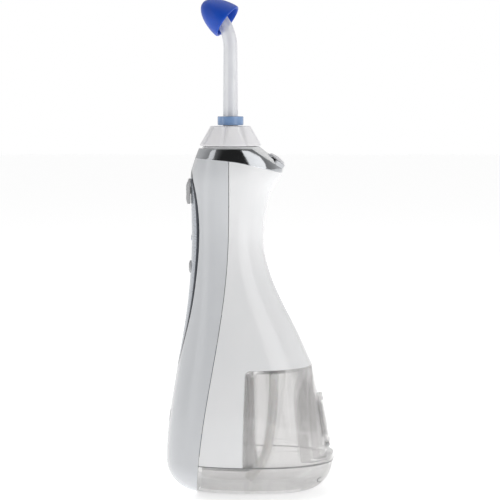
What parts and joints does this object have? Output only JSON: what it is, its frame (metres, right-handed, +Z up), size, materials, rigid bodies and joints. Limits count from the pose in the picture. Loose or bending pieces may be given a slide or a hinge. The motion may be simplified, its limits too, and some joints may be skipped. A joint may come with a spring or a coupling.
{
  "type": "cordless ear and nose irrigator",
  "caption": "Cordless handheld irrigator with a swivelling bent tip and soft nose cone, clear rear water tank, power switch and eject button.",
  "frame": {"origin": "on the floor under the middle of the base, on the flat underside of the water tank", "axes": "+Z up the device, -X the front with the control panel, +X the rear with the tank's fill door, the case is symmetric about the XZ plane"},
  "size_m": [0.0994, 0.068, 0.2897],
  "materials": {
    "white_abs": "gloss moulded ABS",
    "dial_abs": "gloss moulded ABS",
    "chrome": "plated ABS",
    "silver_panel": "silver lacquer under clear coat",
    "grey_key": "fine satin",
    "clear_tank": "smoky clear",
    "clear_tube": "clear",
    "blue_collar": "tinted clear",
    "blue_silicone": "satin silicone",
    "hose_silicone": "milky silicone",
    "grey_rubber": "matt",
    "lamp_lens": "diffusing clear",
    "board_green": "solder mask",
    "black_plastic": "moulded",
    "cell_wrap": "shrink sleeve",
    "steel": "turned",
    "brass": "turned",
    "white_acetal": "moulded acetal",
    "grey_nylon": "moulded nylon"
  },
  "bodies": {
    "handset": {"front_shell": "white_abs", "rear_shell": "white_abs", "control_panel": "silver_panel", "panel_trim": "chrome", "lamp_lens": "lamp_lens", "chrome_band": "chrome", "top_cap": "white_abs", "cap_screws": "steel", "nozzle_socket": "white_acetal", "eject_spring": "steel", "circuit_board": "board_green", "board_screws": "steel", "slide_switch": "black_plastic", "mode_tact_switch": "black_plastic", "lamp_led": "lamp_lens", "battery_cell_left": "cell_wrap", "battery_cell_right": "cell_wrap", "battery_cradle": "black_plastic", "motor_can": "steel", "motor_bushes": "brass", "pump_frame": "grey_nylon", "crank_axle": "steel", "pump_cylinder": "white_acetal", "pump_head": "grey_nylon", "outlet_valve": "grey_rubber", "inlet_valve": "grey_rubber", "outlet_coupling": "hose_silicone", "hose_nipple": "white_acetal", "tank_seal": "grey_rubber", "suction_hose": "hose_silicone", "inlet_hose": "hose_silicone", "charge_jack": "black_plastic", "case_screws": "steel"},
    "dial": {"nozzle_dial": "dial_abs", "nozzle_seat": "white_acetal", "seat_seal": "grey_rubber"},
    "tip": {"tip_tube": "clear_tube", "tip_ring": "blue_collar", "nose_cone": "blue_silicone"},
    "eject_key": {"eject_button": "grey_key"},
    "switch_key": {"power_switch": "grey_key"},
    "mode_key": {"mode_button": "grey_key"},
    "tank": {"water_tank": "clear_tank", "door_hinge_pin": "steel"},
    "door": {"fill_door": "clear_tank", "door_seal": "grey_rubber"},
    "plug": {"charge_plug": "grey_rubber"},
    "rotor": {"motor_shaft": "steel", "motor_armature": "steel", "motor_pinion": "brass"},
    "crank": {"crank_gear": "white_acetal"},
    "piston": {"piston": "white_acetal", "piston_seal": "grey_rubber", "wrist_pin": "steel"},
    "rod": {"connecting_rod": "white_acetal"}
  },
  "joints": [
    {"name": "nozzle_turn", "type": "hinge", "parent": "handset", "child": "dial", "pos_m": [-0.0114, 0, 0.21], "axis": [0, 0, 1], "continuous": true},
    {"name": "tip_lift", "type": "slide", "parent": "dial", "child": "tip", "axis": [0, 0, 1], "range_m": [0, 0.03]},
    {"name": "eject_press", "type": "slide", "parent": "handset", "child": "eject_key", "axis": [-0.6018, 0, -0.7986], "range_m": [0, 0.0012], "stiffness_N_per_m": 600, "deforming": ["eject_spring"]},
    {"name": "power_slide", "type": "slide", "parent": "handset", "child": "switch_key", "axis": [0, 0, -1], "range_m": [0, 0.004]},
    {"name": "mode_press", "type": "slide", "parent": "handset", "child": "mode_key", "axis": [1, 0, 0], "range_m": [0, 0.0007], "stiffness_N_per_m": 600},
    {"name": "tank_slide", "type": "slide", "parent": "handset", "child": "tank", "axis": [0, 0, -1], "range_m": [0, 0.08], "deforming": ["suction_hose"]},
    {"name": "door_swing", "type": "hinge", "parent": "tank", "child": "door", "pos_m": [0.0458, 0, 0.0283], "axis": [0, 1, 0], "range_deg": [0, 95]},
    {"name": "plug_pull", "type": "slide", "parent": "handset", "child": "plug", "axis": [-1, 0, 0], "range_m": [0, 0.012]},
    {"name": "motor_spin", "type": "hinge", "parent": "handset", "child": "rotor", "pos_m": [-0.0104, 0, 0.1], "axis": [0, 1, 0], "continuous": true},
    {"name": "crank_spin", "type": "hinge", "parent": "handset", "child": "crank", "pos_m": [-0.0104, 0, 0.1193], "axis": [0, 1, 0], "continuous": true},
    {"name": "piston_stroke", "type": "slide", "parent": "handset", "child": "piston", "axis": [0, 0, 1], "range_m": [-0.008, 0]},
    {"name": "rod_swing", "type": "hinge", "parent": "piston", "child": "rod", "pos_m": [-0.0104, -0.0033, 0.1473], "axis": [0, 1, 0], "range_deg": [-9.6, 9.6]}
  ],
  "couplings": [
    {"joint": "crank_spin", "follows": "motor_spin", "ratio": -0.23077}
  ]
}
